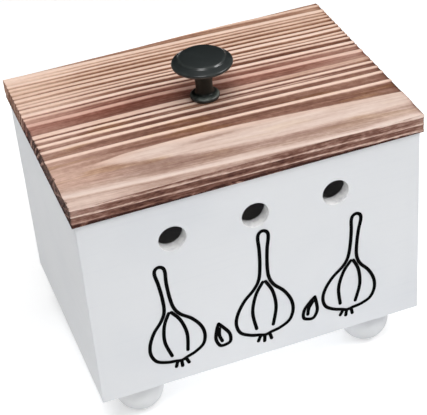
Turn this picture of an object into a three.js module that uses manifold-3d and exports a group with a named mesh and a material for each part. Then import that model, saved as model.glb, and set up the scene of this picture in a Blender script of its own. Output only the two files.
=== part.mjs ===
// Garlic keeper: a small painted wooden box with vent holes and ball feet, and a lift-off
// board lid of torched, brushed pine with a black metal knob.
// Millimetres, +Z up. The origin is on the ground under the middle of the box, and the
// front faces -Y.

import * as THREE from "three";
import { mergeVertices } from "three/addons/utils/BufferGeometryUtils.js";
import Module from "manifold-3d";

const wasm = await Module();
wasm.setup();

// Lid board
const lidWidth = 190;
const lidDepth = 137;
const lidThickness = 11;
const lidOverhang = 1.5;
const lidEdgeRound = 0.4;

// Brushed grain of the lid: the hard rings stand proud, the soft wood between them is worn down
const brushDepth = 0.5;
const ringPitchAtBack = 4.1;
const ringGrowthRatio = 1.055;
const edgeBrushDepth = 0.35;
const edgeRingPitch = 3.1;
const ridgeShare = 0.3;
const flankShare = 0.15;

// Box walls and bottom
const boxHeight = 118;
const wallThickness = 7;
const bottomThickness = 7;
const rebateDepth = 3.5;
const bottomGap = 0.3;
const cornerRound = 1;

// Vent holes, drilled in the front wall
const ventCount = 3;
const ventDiameter = 15;
const ventSpacing = 45;
const ventBelowRim = 23.5;
const ventEase = 0.5;

// Ball feet, turned flat where they meet the box and where they stand
const footDiameter = 28;
const footTopCut = 1.8;
const footGroundCut = 0.6;
const footInsetX = 25;
const footInsetY = 19;

// Battens under the lid: they keep the board flat and locate it inside the walls
const battenWidth = 14;
const battenThickness = 8;
const battenEase = 1.5;
const battenGap = 1;
const battenScrewInset = 22;

// Knob: a thin base that sweeps up into the neck, a thick mushroom cap with a full round rim,
// and a low dome that stands on the cap's shoulder with a step
const knobBaseRadius = 8.1;
const knobBaseEdge = 1.2;
const knobBaseRound = 0.5;
const knobNeckRadius = 4.3;
const knobNeckStart = 5.5;
const knobNeckEnd = 10.5;
const knobUndersideLevel = 18.9;
const knobCapRadius = 16.4;
const knobRimLevel = 20.9;
const knobRimRadius = 1.2;
const knobShoulderRadius = 13.2;
const knobShoulderLevel = 23.5;
const knobDomeRadius = 12.4;
const knobStepLevel = 24.5;
const knobHeight = 26.5;
const domeShare = 0.6;
const rimTurnShare = 1 / 3;

// Countersunk wood screws, down through the bottom into the feet and up through the battens
const woodShankRadius = 1.75;
const woodHeadRadius = 3.5;
const woodHeadHeight = 2.1;
const woodHeadEdge = 0.3;
const woodTipLength = 3;
const woodHeadSink = 0.2;
const footScrewBite = 15;
const battenScrewBite = 6.5;

// Machine screw up through the lid board into the knob
const knobShankRadius = 2;
const knobScrewBite = 9;
const panHeadRadius = 4;
const panHeadHeight = 2.5;
const panHeadRound = 1.2;

// Headed brads that pin the glued joints, their heads under filler and paint
const bradShankRadius = 0.6;
const bradHeadRadius = 1;
const bradHeadHeight = 0.6;
const bradLength = 15;
const bradTipLength = 1.5;
const bradSink = 1.3;
const cornerBradShares = [0.16, 0.5, 0.84];
const bottomBradShares = [-0.3, 0.3];

// Clearance all round a fastener in its hole, and how far a cutter runs past a face
const fitGap = 0.3;
const overrun = 1;
const weldDistance = 0.0001;

// Facets
const knobSides = 40;
const footSides = 28;
const ventSides = 32;
const screwSides = 16;
const bradSides = 8;
const roundSteps = 3;
const curveSteps = 4;
const footSteps = 10;

// Sizes that follow from those above
const boxWidth = lidWidth - 2 * lidOverhang;
const boxDepth = lidDepth - 2 * lidOverhang;
const lapThickness = wallThickness - rebateDepth;
const insideWidth = boxWidth - 2 * wallThickness;
const insideDepth = boxDepth - 2 * wallThickness;
const footHeight = footDiameter - footTopCut - footGroundCut;
const battenLength = insideDepth - 2 * battenGap;

// Finishes
const whitePaint = new THREE.MeshStandardMaterial({ color: 0xe2e5e7, roughness: 0.42, metalness: 0 });
const burntPine = new THREE.MeshStandardMaterial({ color: 0xb88a70, roughness: 0.7, metalness: 0 });
const barePine = new THREE.MeshStandardMaterial({ color: 0xd9bf98, roughness: 0.75, metalness: 0 });
const blackMetal = new THREE.MeshStandardMaterial({ color: 0x1d201f, roughness: 0.32, metalness: 0.8 });
const zincSteel = new THREE.MeshStandardMaterial({ color: 0xb4b7b9, roughness: 0.35, metalness: 1 });

const axisX = new THREE.Vector3(1, 0, 0);
const axisY = new THREE.Vector3(0, 1, 0);
const axisZ = new THREE.Vector3(0, 0, 1);

// A closed geometry as a solid that can be cut
function toSolid(geometry) {
  const bare = geometry.index ? geometry.toNonIndexed() : geometry.clone();
  bare.deleteAttribute("normal");
  bare.deleteAttribute("uv");
  const merged = mergeVertices(bare, weldDistance);
  const triVerts = [];
  for (let i = 0; i < merged.index.count; i += 3) {
    const corners = [0, 1, 2].map((k) => merged.index.getX(i + k));
    if (new Set(corners).size === 3) {
      triVerts.push(...corners);
    }
  }
  return new wasm.Manifold(new wasm.Mesh({
    numProp: 3,
    vertProperties: new Float32Array(merged.attributes.position.array),
    triVerts: new Uint32Array(triVerts),
  }));
}

function toGeometry(solid) {
  const mesh = solid.getMesh();
  const indexed = new THREE.BufferGeometry();
  indexed.setAttribute("position", new THREE.BufferAttribute(mesh.vertProperties, 3));
  indexed.setIndex(new THREE.BufferAttribute(mesh.triVerts, 1));
  const geometry = indexed.toNonIndexed();
  geometry.computeVertexNormals();
  return geometry;
}

function cut(geometry, cutters) {
  let solid = toSolid(geometry);
  for (const cutter of cutters) {
    solid = solid.subtract(toSolid(cutter));
  }
  return toGeometry(solid);
}

// A profile of [radius, height] points turned about Z
function turned(points, sides) {
  const profile = points.map(([radius, height]) => new THREE.Vector2(radius, height));
  return new THREE.LatheGeometry(profile, sides).rotateX(Math.PI / 2);
}

// A block between its low and high corners
function block(low, high) {
  const size = high.map((value, i) => value - low[i]);
  const middle = high.map((value, i) => (value + low[i]) / 2);
  return new THREE.BoxGeometry(...size).translate(...middle);
}

// An outline of [x, y] points raised along Z
function raised(points, height) {
  const shape = new THREE.Shape(points.map(([x, y]) => new THREE.Vector2(x, y)));
  return new THREE.ExtrudeGeometry(shape, { depth: height, bevelEnabled: false });
}

// A section drawn on two axes, run to both sides along the third
function moulding(points, length, across, up) {
  const basis = new THREE.Matrix4().makeBasis(across, up, across.clone().cross(up));
  return raised(points, length).translate(0, 0, -length / 2).applyMatrix4(basis);
}

// Points of a quarter round that starts at an angle
function quarterRound(centreX, centreY, radius, startAngle) {
  const points = [];
  for (let i = 0; i <= roundSteps; i += 1) {
    const angle = startAngle + (Math.PI / 2) * (i / roundSteps);
    points.push([centreX + radius * Math.cos(angle), centreY + radius * Math.sin(angle)]);
  }
  return points;
}

function piece(name, geometry, material, position, turn = 0) {
  const mesh = new THREE.Mesh(geometry, material);
  mesh.name = name;
  mesh.position.set(...position);
  mesh.rotation.z = turn;
  return mesh;
}

// A fastener points along an axis from its place, and carries the hole that it needs
function fastener(name, body, hole, position, direction) {
  const mesh = piece(name, body, zincSteel, position);
  mesh.quaternion.setFromUnitVectors(axisZ, direction);
  mesh.userData.hole = hole;
  return mesh;
}

// Takes the fasteners' holes out of pieces that lie in the same group
function drill(pieces, fasteners) {
  for (const target of pieces) {
    target.updateMatrix();
    const intoPiece = target.matrix.clone().invert();
    const holes = fasteners.map((pin) => {
      pin.updateMatrix();
      return pin.userData.hole.clone().applyMatrix4(pin.matrix).applyMatrix4(intoPiece);
    });
    target.geometry = cut(target.geometry, holes);
  }
}

// A vent drilled along Y through a wall whose outer face is at y = 0, both rims eased
function ventCutter(x, z) {
  const radius = ventDiameter / 2;
  const mouth = radius + ventEase + overrun;
  return turned([
    [0, -overrun],
    [mouth, -overrun],
    [radius, ventEase],
    [radius, wallThickness - ventEase],
    [mouth, wallThickness + overrun],
    [0, wallThickness + overrun],
  ], ventSides).rotateX(-Math.PI / 2).translate(x, 0, z);
}

// Rebate along the inner bottom edge of a wall, which takes the bottom panel
function bottomRebate(wallLength) {
  return block(
    [-wallLength / 2 - overrun, lapThickness, -overrun],
    [wallLength / 2 + overrun, wallThickness + overrun, bottomThickness],
  );
}

// Front or back wall: full width, with a lap at each end that covers the side wall's end
function endWall(vents) {
  const half = boxWidth / 2;
  const shoulder = half - wallThickness;
  const plan = [
    ...quarterRound(cornerRound - half, cornerRound, cornerRound, Math.PI),
    ...quarterRound(half - cornerRound, cornerRound, cornerRound, 1.5 * Math.PI),
    [half, lapThickness],
    [shoulder, lapThickness],
    [shoulder, wallThickness],
    [-shoulder, wallThickness],
    [-shoulder, lapThickness],
    [-half, lapThickness],
  ];
  const cutters = [bottomRebate(boxWidth)];
  for (let i = 0; i < vents; i += 1) {
    cutters.push(ventCutter((i - (vents - 1) / 2) * ventSpacing, boxHeight - ventBelowRim));
  }
  return cut(raised(plan, boxHeight), cutters);
}

// Side wall: it stands between the laps of the end walls
function sideWall() {
  const length = boxDepth - 2 * lapThickness;
  const board = block([-length / 2, 0, 0], [length / 2, wallThickness, boxHeight]);
  return cut(board, [bottomRebate(length)]);
}

function bottomPanel() {
  const halfWidth = boxWidth / 2 - lapThickness - bottomGap;
  const halfDepth = boxDepth / 2 - lapThickness - bottomGap;
  return block([-halfWidth, -halfDepth, 0], [halfWidth, halfDepth, bottomThickness]);
}

// A ball from its top flat, which lies at z = 0, down to the flat that it stands on
function ballFoot() {
  const radius = footDiameter / 2;
  const centre = footTopCut - radius;
  const topAngle = Math.asin((radius - footTopCut) / radius);
  const groundAngle = -Math.asin((radius - footGroundCut) / radius);
  const points = [[0, -footHeight]];
  for (let i = 0; i <= footSteps; i += 1) {
    const angle = groundAngle + (topAngle - groundAngle) * (i / footSteps);
    points.push([radius * Math.cos(angle), centre + radius * Math.sin(angle)]);
  }
  points.push([0, 0]);
  return turned(points, footSides);
}

// Distance and depth along a brushed face, ring by ring: a hard ridge, then worn soft wood
function brushedFace(length, firstPitch, growthRatio, depth) {
  const points = [];
  let start = 0;
  let pitch = firstPitch;
  while (start + pitch < length) {
    points.push([start, 0]);
    points.push([start + ridgeShare * pitch, 0]);
    points.push([start + (ridgeShare + flankShare) * pitch, depth]);
    points.push([start + (1 - flankShare) * pitch, depth]);
    start += pitch;
    pitch *= growthRatio;
  }
  points.push([start, 0], [length, 0]);
  return points;
}

// The lid board's section, with its rings open along the top and along both long edges
function lidBoard() {
  const half = lidDepth / 2;
  const inner = half - lidEdgeRound;
  const shoulder = lidThickness - lidEdgeRound;
  const top = brushedFace(2 * inner, ringPitchAtBack, ringGrowthRatio, brushDepth);
  const edge = brushedFace(shoulder, edgeRingPitch, 1, edgeBrushDepth);
  const section = [
    ...edge.map(([along, depth]) => [half - depth, shoulder - along]).reverse(),
    ...quarterRound(inner, shoulder, lidEdgeRound, 0).slice(1, -1),
    ...top.map(([along, depth]) => [inner - along, lidThickness - depth]),
    ...quarterRound(-inner, shoulder, lidEdgeRound, Math.PI / 2).slice(1, -1),
    ...edge.map(([along, depth]) => [depth - half, shoulder - along]),
  ];
  return moulding(section, lidWidth, axisY, axisZ);
}

function batten() {
  const half = battenWidth / 2;
  const section = [
    [-half, 0],
    [-half, battenEase - battenThickness],
    [battenEase - half, -battenThickness],
    [half - battenEase, -battenThickness],
    [half, battenEase - battenThickness],
    [half, 0],
  ];
  return moulding(section, battenLength, axisX, axisZ);
}

// The knob's outline from the middle of its base out, up and back in over the cap
function knob() {
  const rimCentre = knobCapRadius - knobRimRadius;
  const outline = new THREE.Path();
  outline.moveTo(0, 0);
  outline.lineTo(knobBaseRadius, 0);
  outline.lineTo(knobBaseRadius, knobBaseEdge - knobBaseRound);
  outline.quadraticCurveTo(
    knobBaseRadius,
    knobBaseEdge,
    knobBaseRadius - knobBaseRound,
    knobBaseEdge,
  );
  outline.quadraticCurveTo(knobNeckRadius, knobBaseEdge + knobBaseRound, knobNeckRadius, knobNeckStart);
  outline.lineTo(knobNeckRadius, knobNeckEnd);
  outline.quadraticCurveTo(knobNeckRadius, knobUndersideLevel, rimCentre, knobRimLevel - knobRimRadius);
  outline.absarc(rimCentre, knobRimLevel, knobRimRadius, -Math.PI / 2, Math.PI * rimTurnShare);
  outline.lineTo(knobShoulderRadius, knobShoulderLevel);
  outline.lineTo(knobDomeRadius, knobStepLevel);
  outline.quadraticCurveTo(domeShare * knobDomeRadius, knobHeight, 0, knobHeight);
  const points = outline.getPoints(curveSteps).map((point) => [point.x, point.y]);
  return turned(points, knobSides);
}

// A countersunk screw with its face at the origin, or the hole that it needs
function woodScrew(length, gap, mouth) {
  return turned([
    [0, -mouth],
    [woodHeadRadius + gap, -mouth],
    [woodHeadRadius + gap, woodHeadEdge],
    [woodShankRadius + gap, woodHeadHeight],
    [woodShankRadius + gap, length - woodTipLength],
    [0, length + gap],
  ], screwSides);
}

// A pan-headed machine screw whose head bears on the face at the origin
function knobScrew() {
  return turned([
    [0, -panHeadHeight],
    [panHeadRadius - panHeadRound, -panHeadHeight],
    [panHeadRadius, panHeadRound - panHeadHeight],
    [panHeadRadius, 0],
    [knobShankRadius, 0],
    [knobShankRadius, lidThickness + knobScrewBite],
    [0, lidThickness + knobScrewBite],
  ], screwSides);
}

function knobScrewHole() {
  const radius = knobShankRadius + fitGap;
  const depth = lidThickness + knobScrewBite + fitGap;
  return turned([[0, -overrun], [radius, -overrun], [radius, depth], [0, depth]], screwSides);
}

// A brad with its head's top at the origin, or the hole that it needs
function brad(gap) {
  return turned([
    [0, -gap],
    [bradHeadRadius + gap, -gap],
    [bradHeadRadius + gap, bradHeadHeight + gap],
    [bradShankRadius + gap, bradHeadHeight + gap],
    [bradShankRadius + gap, bradLength - bradTipLength],
    [0, bradLength + gap],
  ], bradSides);
}

const sides = [["left", -1], ["right", 1]];
const ends = [["front", -1], ["back", 1]];

// The joints' brads: through the laps into the side walls, and through all walls into the bottom
function makeBrads() {
  const brads = [];
  const add = (name, position, direction) => {
    brads.push(fastener(name, brad(0), brad(fitGap), position, direction));
  };
  for (const [endName, end] of ends) {
    const inward = axisY.clone().multiplyScalar(-end);
    const y = end * (boxDepth / 2 - bradSink);
    for (const [sideName, side] of sides) {
      const x = side * (boxWidth - wallThickness) / 2;
      cornerBradShares.forEach((share, i) => {
        add(`corner_brad_${endName}_${sideName}_${i + 1}`, [x, y, share * boxHeight], inward);
      });
    }
    bottomBradShares.forEach((share, i) => {
      add(`bottom_brad_${endName}_${i + 1}`, [share * boxWidth, y, bottomThickness / 2], inward);
    });
  }
  for (const [sideName, side] of sides) {
    const inward = axisX.clone().multiplyScalar(-side);
    const x = side * (boxWidth / 2 - bradSink);
    bottomBradShares.forEach((share, i) => {
      add(`bottom_brad_${sideName}_${i + 1}`, [x, share * boxDepth, bottomThickness / 2], inward);
    });
  }
  return brads;
}

// The box: its group's origin is the middle of its underside
function makeBox() {
  const box = new THREE.Group();
  box.position.z = footHeight;
  const panels = [
    piece("front_panel", endWall(ventCount), whitePaint, [0, -boxDepth / 2, 0]),
    piece("back_panel", endWall(0), whitePaint, [0, boxDepth / 2, 0], Math.PI),
    piece("left_side_panel", sideWall(), whitePaint, [-boxWidth / 2, 0, 0], -Math.PI / 2),
    piece("right_side_panel", sideWall(), whitePaint, [boxWidth / 2, 0, 0], Math.PI / 2),
  ];
  const bottom = piece("bottom_panel", bottomPanel(), whitePaint, [0, 0, 0]);
  const feet = [];
  const screws = [];
  for (const [endName, end] of ends) {
    for (const [sideName, side] of sides) {
      const x = side * (boxWidth / 2 - footInsetX);
      const y = end * (boxDepth / 2 - footInsetY);
      const length = bottomThickness - woodHeadSink + footScrewBite;
      feet.push(piece(`foot_${endName}_${sideName}`, ballFoot(), whitePaint, [x, y, 0]));
      screws.push(fastener(
        `foot_screw_${endName}_${sideName}`,
        woodScrew(length, 0, 0),
        woodScrew(length, fitGap, overrun),
        [x, y, bottomThickness - woodHeadSink],
        axisZ.clone().negate(),
      ));
    }
  }
  const brads = makeBrads();
  drill([...panels, bottom], brads);
  drill([bottom, ...feet], screws);
  box.add(...panels, bottom, ...feet, ...screws, ...brads);
  return box;
}

// The lid: its group's origin is the middle of the board's underside
function makeLid() {
  const lid = new THREE.Group();
  lid.position.z = footHeight + boxHeight;
  const board = piece("lid_board", lidBoard(), burntPine, [0, 0, 0]);
  const knobPiece = piece("knob", knob(), blackMetal, [0, 0, lidThickness]);
  const knobPin = fastener("knob_screw", knobScrew(), knobScrewHole(), [0, 0, 0], axisZ);
  const battens = [];
  const screws = [];
  for (const [sideName, side] of sides) {
    const x = side * (insideWidth / 2 - battenGap - battenWidth / 2);
    battens.push(piece(`lid_batten_${sideName}`, batten(), barePine, [x, 0, 0]));
    for (const [endName, end] of ends) {
      const y = end * (battenLength / 2 - battenScrewInset);
      const length = battenThickness - woodHeadSink + battenScrewBite;
      screws.push(fastener(
        `batten_screw_${endName}_${sideName}`,
        woodScrew(length, 0, 0),
        woodScrew(length, fitGap, overrun),
        [x, y, woodHeadSink - battenThickness],
        axisZ,
      ));
    }
  }
  drill([board, ...battens], screws);
  drill([board, knobPiece], [knobPin]);
  lid.add(board, knobPiece, knobPin, ...battens, ...screws);
  return lid;
}

const keeper = new THREE.Group();
keeper.add(makeBox(), makeLid());

export default keeper;
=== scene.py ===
import math

import bmesh
import bpy
import numpy as np
from mathutils import Matrix, Quaternion, Vector


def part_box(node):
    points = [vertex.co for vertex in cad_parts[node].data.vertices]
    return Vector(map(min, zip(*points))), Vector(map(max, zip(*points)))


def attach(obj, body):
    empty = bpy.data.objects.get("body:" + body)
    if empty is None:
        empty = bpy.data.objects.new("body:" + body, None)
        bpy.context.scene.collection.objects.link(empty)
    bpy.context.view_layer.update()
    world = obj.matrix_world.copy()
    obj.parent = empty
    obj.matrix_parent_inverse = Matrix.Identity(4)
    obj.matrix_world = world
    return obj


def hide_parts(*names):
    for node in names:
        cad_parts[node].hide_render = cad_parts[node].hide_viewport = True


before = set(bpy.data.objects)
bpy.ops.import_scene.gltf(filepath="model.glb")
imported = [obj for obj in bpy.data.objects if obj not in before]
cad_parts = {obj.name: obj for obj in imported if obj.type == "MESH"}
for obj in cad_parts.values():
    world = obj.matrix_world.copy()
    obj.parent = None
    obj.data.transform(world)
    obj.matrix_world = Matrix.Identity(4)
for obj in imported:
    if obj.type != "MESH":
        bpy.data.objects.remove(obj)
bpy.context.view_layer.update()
mm = 0.001
print("frame loaded:", len(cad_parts), "nodes")


# camera, set where the photographer stood
photo = {
    "lens": 117.188,
    "sensor": 36,
    "nearest": 0.01,
    "place": (-0.19066, -0.60555, 0.54203),
    "aim": (0.00269, 0.0117, 0.0723),
    "roll": -5.216,  # the camera was held a little askew
}


def makeCamera():
    lens = bpy.data.cameras.new("camera")
    lens.lens = photo["lens"]
    lens.sensor_width = photo["sensor"]
    lens.clip_start = photo["nearest"]
    camera = bpy.data.objects.new("camera", lens)
    camera.location = photo["place"]
    looking = (Vector(photo["aim"]) - Vector(photo["place"])).to_track_quat("-Z", "Y")
    camera.rotation_mode = "QUATERNION"
    camera.rotation_quaternion = looking @ Quaternion((0, 0, 1), math.radians(photo["roll"]))
    bpy.context.scene.collection.objects.link(camera)
    bpy.context.scene.camera = camera


makeCamera()
print("camera placed")


# shader wiring
class Wire:  # a socket that can be added, multiplied and compared
    def __init__(self, tree, socket=None):
        self.tree = tree
        self.socket = socket

    def node(self, kind, settings=None, inputs=None, output=0):
        made = self.tree.nodes.new("ShaderNode" + kind)
        for key, value in (settings or {}).items():
            if key == "stops":
                ramp = made.color_ramp
                while len(ramp.elements) < len(value):
                    ramp.elements.new(1)
                for stop, (place, colour) in zip(ramp.elements, value):
                    stop.position, stop.color = place, colour
            else:
                setattr(made, key, value)
        for key, value in (inputs or {}).items():
            if isinstance(value, Wire):
                self.tree.links.new(value.socket, made.inputs[key])
            else:
                made.inputs[key].default_value = value
        return Wire(self.tree, made.outputs[output] if made.outputs else None)

    def sum(self, operation, first, second=0.0):
        return self.node("Math", {"operation": operation}, {0: first, 1: second})

    def __add__(self, other):
        return self.sum("ADD", self, other)

    __radd__ = __add__

    def __sub__(self, other):
        return self.sum("SUBTRACT", self, other)

    def __rsub__(self, other):
        return self.sum("SUBTRACT", other, self)

    def __mul__(self, other):
        return self.sum("MULTIPLY", self, other)

    __rmul__ = __mul__

    def between(self, low, high):  # 0 below low, 1 above high, smooth in the middle
        return self.node("MapRange", {"interpolation_type": "SMOOTHSTEP"},
                         {0: self, 1: low, 2: high, 3: 0.0, 4: 1.0})

    def mixed(self, first, second, way="MIX"):  # self is how much of the second colour
        return self.node("Mix", {"data_type": "RGBA", "blend_type": way},
                         {0: self, 6: first, 7: second}, 2)

    def ramp(self, stops):
        return self.node("ValToRGB", {"stops": stops}, {0: self})

    def part(self, axis):
        return self.node("SeparateXYZ", {}, {0: self}, axis)

    def noise(self, detail, roughness=0.5):
        return self.node("TexNoise", {}, {0: self, 2: 1.0, 3: detail, 4: roughness})

    def cells(self, count, detail, roughness=0.5):  # noise, with its cells per metre in all or by axis
        counts = count if isinstance(count, (tuple, list)) else (count,) * 3
        sized = self.node("VectorMath", {"operation": "MULTIPLY"}, {0: self, 1: counts})
        return sized.noise(detail, roughness)

    def bumped(self, height, distance, strength):
        return self.node("Bump", {}, {"Height": height, "Distance": distance, "Strength": strength})


def tint(red, green, blue):  # a colour as picked on screen, made linear
    def linear(value):
        value /= 255
        return value / 12.92 if value <= 0.04045 else ((value + 0.055) / 1.055) ** 2.4
    return (linear(red), linear(green), linear(blue), 1.0)


def startFinish(name):  # the last of the three is the place on the object, in metres
    material = bpy.data.materials.new(name)
    material.use_nodes = True
    material.node_tree.nodes.clear()
    wire = Wire(material.node_tree)
    return material, wire, wire.node("TexCoord", {}, {}, 3)


def endFinish(material, wire, settings):
    shader = wire.node("BsdfPrincipled", {}, settings)
    wire.node("OutputMaterial", {}, {0: shader})
    return material


# materials
paint = {
    "colour": tint(224, 226, 229),
    "thin": tint(215, 218, 223),
    "turned": tint(234, 235, 236),
    # the vent walls' paint, brighter than the wall paint: painted light for the shaded holes
    "drilled": tint(255, 255, 255),
    "scuffed": tint(222, 223, 225),
    # painted shade: the grey that the feet take towards the floor
    "paintedShade": tint(130, 133, 137),
    "paintedShadeBelow": (0.018, -0.006),  # heights between which turned pieces get greyer
    # cells per metre of the grain across and along the board, the clouds and the skin
    "grain": 420.0,
    "grainAlong": 16.0,
    "clouds": 14.0,
    "drilledClouds": 420.0,
    "skin": 1500.0,
    "grainStrength": 0.25,
    "cloudStrength": 0.6,
    "roughness": 0.42,
    "grainBump": 0.00004,
}


def makePaint(name, along, full="colour", thin="thin", clouds="clouds"):
    # along is the axis that the board's grain runs on, or None where no grain shows
    material, wire, place = startFinish(name)
    counts = [paint["grain"]] * 3
    if along is not None:
        counts[along] = paint["grainAlong"]
    grain = place.cells(counts, 4.0, 0.55)
    cloud = place.cells(paint[clouds], 2.0)
    skin = place.cells(paint["skin"], 1.0)
    worn = grain.between(0.52, 0.78) * paint["grainStrength"]
    worn = worn + cloud.between(0.4, 0.75) * paint["cloudStrength"]
    colour = worn.mixed(paint[full], paint[thin])
    if along is None:
        # painted shade: pieces without grain get greyer towards the floor
        colour = place.part(2).between(*paint["paintedShadeBelow"]).mixed(colour, paint["paintedShade"])
    rough = grain * 0.10 + cloud * 0.08 + (paint["roughness"] - 0.09)
    normal = wire.bumped(grain * 0.8 + skin * 0.2, paint["grainBump"], 0.9)
    return endFinish(material, wire, {"Base Color": colour, "Roughness": rough, "Normal": normal})


burnt = {
    "stops": [
        (0.0, tint(66, 40, 33)),
        (0.12, tint(98, 64, 53)),
        (0.25, tint(118, 81, 68)),
        (0.4, tint(142, 103, 88)),
        (0.6, tint(181, 145, 129)),
        (0.8, tint(222, 188, 171)),
        (1.0, tint(245, 217, 201)),
    ],
    "red": tint(214, 116, 110),
    "straw": tint(255, 246, 222),
    "tan": tint(250, 243, 208),
    "ash": tint(245, 251, 255),
    "pale": tint(236, 222, 214),
    # where each of these tints comes in and goes, in metres from the back edge
    "strawGoes": (0.055, 0.02),
    "tanComes": (0.06, 0.075),
    "tanGoes": (0.124, 0.112),
    "ashComes": (0.114, 0.124),  # the wide bands at the front are greyer
    "ashComesEarly": (0.096, 0.106),  # everywhere but at the left end
    "ashRightOf": (-0.08, -0.04),
    # cells per metre along and across the rings, and the detail
    "fibre": (40.0, 1500.0, 3.0),
    "streak": (24.0, 480.0, 2.0),
    "mottle": (300.0, 600.0, 3.0),
    "tanned": (22.0, 130.0, 2.0),
    "clouds": (30.0, 60.0, 60.0),
    "blotches": (260.0, 800.0, 800.0),
    "strength": {"fibre": 0.28, "streak": 0.5, "mottle": 0.42, "cloud": 0.16, "char": 0.36, "blotch": 2.0},
    "roughness": 0.78,
    "gloss": 0.12,
    "fibreBump": 0.00012,
}


def makeBurntPine():
    material, wire, place = startFinish("burnt_pine_brushed")

    def read(name):
        return wire.node("Attribute", {"attribute_name": name}, {}, 2)

    tone, across, blush, char = (read(name) for name in ("tone", "across", "blush", "char"))
    right, up = place.part(0), place.part(2)

    def along(runs, rings, detail):  # noise that follows the rings
        spot = wire.node("CombineXYZ", {}, {0: right * runs, 1: across * rings, 2: up * rings})
        return spot.noise(detail, 0.6) - 0.5

    names = ("fibre", "streak", "mottle", "tanned")
    fibre, streak, mottle, tanned = (along(*burnt[name]) for name in names)
    cloud = place.cells(burnt["clouds"], 3.0) - 0.5
    blotch = place.cells(burnt["blotches"], 3.0) - 0.5
    soft = 1.25 - tone  # the worn wood between the ridges is the livelier
    strength = burnt["strength"]
    lively = streak * strength["streak"] + mottle * strength["mottle"] + cloud * strength["cloud"]
    grained = tone + fibre * strength["fibre"] + lively * soft
    # char darkens the wood; along the bottom of the long edges it also holds a painted shadow line
    grained = grained - char * strength["char"] + blotch * char * strength["blotch"]
    colour = grained.ramp(burnt["stops"])
    colour = (blush * (0.62 - tone * 0.48)).mixed(colour, burnt["red"], "MULTIPLY")
    straw = across.between(*burnt["strawGoes"])
    colour = (straw * (1.3 - tone * 1.3)).mixed(colour, burnt["straw"], "MULTIPLY")
    tan = tanned.between(0.02, 0.16) * soft
    tan = tan * across.between(*burnt["tanComes"]) * across.between(*burnt["tanGoes"])
    colour = (tan * 0.75).mixed(colour, burnt["tan"], "MULTIPLY")
    early = across.between(*burnt["ashComesEarly"]) * right.between(*burnt["ashRightOf"])
    ashen = across.between(*burnt["ashComes"]) + early
    colour = ashen.mixed(colour, burnt["ash"], "MULTIPLY")
    palest = ashen.between(0.0, 1.0) * grained.between(0.65, 1.0)
    colour = (palest * 0.2).mixed(colour, burnt["pale"])
    rough = burnt["roughness"] - tone * 0.14 + fibre * 0.12
    normal = wire.bumped(fibre * 0.7 + streak * 0.3, burnt["fibreBump"], 0.8)
    return endFinish(material, wire, {
        "Base Color": colour, "Roughness": rough, "Normal": normal, "Specular IOR Level": burnt["gloss"]})


bare = {
    "early": tint(226, 198, 156),
    "late": tint(196, 150, 98),
    # cells per metre by axis
    "wander": (60.0, 8.0, 60.0),
    "fibre": (1600.0, 60.0, 1600.0),
    "rings": 1500.0,
    "sway": 9.0,
    "roughness": 0.62,
    "fibreBump": 0.00004,
}


def makeBarePine():
    material, wire, place = startFinish("bare_pine_planed")
    wander = place.cells(bare["wander"], 2.0)
    rings = wire.sum("SINE", (place.part(0) * bare["rings"]) + wander * bare["sway"])
    fibre = place.cells(bare["fibre"], 3.0)
    late = rings.between(0.1, 1.0) * 0.75 + fibre * 0.25
    colour = late.mixed(bare["early"], bare["late"])
    normal = wire.bumped(fibre, bare["fibreBump"], 0.8)
    rough = fibre * 0.14 + (bare["roughness"] - 0.07)
    return endFinish(material, wire, {"Base Color": colour, "Roughness": rough, "Normal": normal})


casting = {
    "colour": tint(41, 45, 45),
    "worn": tint(55, 60, 60),
    # painted shade: the neck under the cap is darker
    "neck": tint(22, 32, 26),
    "neckShadeSpan": (0.1575, 0.173),  # heights between which it is darker and duller
    "neckShadeStrength": 0.8,
    "paintedHighlight": tint(150, 160, 153),
    # height, reach and strength of the painted highlights round its rims, on its foot, its cap and the step
    # above that
    "rims": [(0.1568, 0.0009, 0.8), (0.1763, 0.0009, 0.05), (0.1789, 0.0007, 0.06)],
    "skin": 900.0,  # cells per metre
    "clouds": 120.0,
    "roughness": 0.46,
    "gloss": 0.3,
    "coatRoughness": 0.19,
    "skinBump": 0.00002,
}


def makeBlackMetal():
    material, wire, place = startFinish("black_coated_metal")
    skin = place.cells(casting["skin"], 2.0)
    cloud = place.cells(casting["clouds"], 3.0)
    colour = (cloud.between(0.5, 0.8) * 0.5).mixed(casting["colour"], casting["worn"])
    height = place.part(2)
    bottom, top = casting["neckShadeSpan"]
    neck = height.between(top, top - 0.004) * height.between(bottom - 0.001, bottom)
    # painted shade on the neck under the cap
    colour = (neck * casting["neckShadeStrength"]).mixed(colour, casting["neck"])
    # painted highlights: pale bands round the rims, broken up by clouds
    for level, reach, strength in casting["rims"]:
        rim = height.between(level - reach, level) * height.between(level + reach, level)
        colour = (rim * cloud.between(0.35, 0.6) * strength).mixed(colour, casting["paintedHighlight"])
    rough = skin * 0.12 + cloud * 0.10 + (casting["roughness"] - 0.11)
    coat = 1.0 - neck * 0.75
    normal = wire.bumped(skin, casting["skinBump"], 0.25)
    return endFinish(material, wire, {
        "Base Color": colour, "Roughness": rough, "Normal": normal, "Specular IOR Level": casting["gloss"],
        "Coat Weight": coat, "Coat Roughness": casting["coatRoughness"]})


zinc = {
    "grey": tint(176, 178, 180),
    "bright": tint(206, 206, 198),
    "clouds": 400.0,  # cells per metre
    "brushing": (3000.0, 3000.0, 300.0),
    "roughness": 0.18,
    "brushBump": 0.00002,
}


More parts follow.
